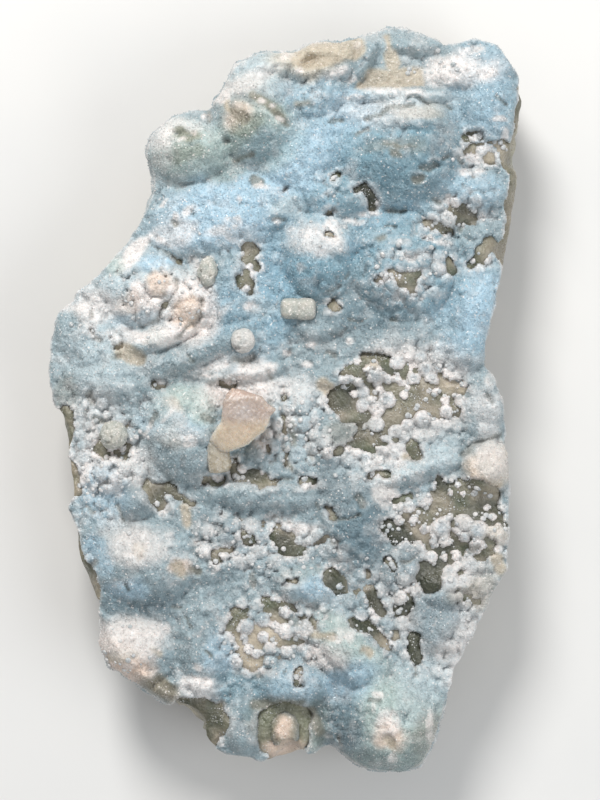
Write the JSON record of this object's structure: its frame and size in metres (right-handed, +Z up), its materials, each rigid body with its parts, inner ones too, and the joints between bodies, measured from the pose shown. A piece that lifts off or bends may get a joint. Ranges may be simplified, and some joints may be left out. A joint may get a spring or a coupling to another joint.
{
  "type": "hemimorphite specimen",
  "caption": "Hand specimen of a mineral: a flake of pale stone with a knobbly blue crystal crust, perched calcite and pale nodules, lying on its broken back.",
  "frame": {"origin": "middle of the bounding box at the surface the specimen lies on", "axes": "+Z up out of the crusted front, +Y along the longest side towards the end with the two balls, +X across"},
  "size_m": [0.048, 0.0754, 0.0168],
  "materials": {
    "stone": "grey-green to beige translucent stone, waxy where grown, rough where broken",
    "hemimorphite": "sugary sky-blue crust of tiny sparkling crystals with white knobs",
    "calcite": "frosted translucent crystal, peach to cream",
    "nodule": "pale waxy translucent nodule"
  },
  "bodies": {
    "root": {"smithsonite_stone": "stone", "hemimorphite_crust": "hemimorphite", "calcite_crystals": "calcite", "calcite_nub": "calcite", "pale_nodule_long": "nodule", "pale_nodule_round": "nodule", "pale_nodule_left": "nodule"}
  },
  "joints": []
}
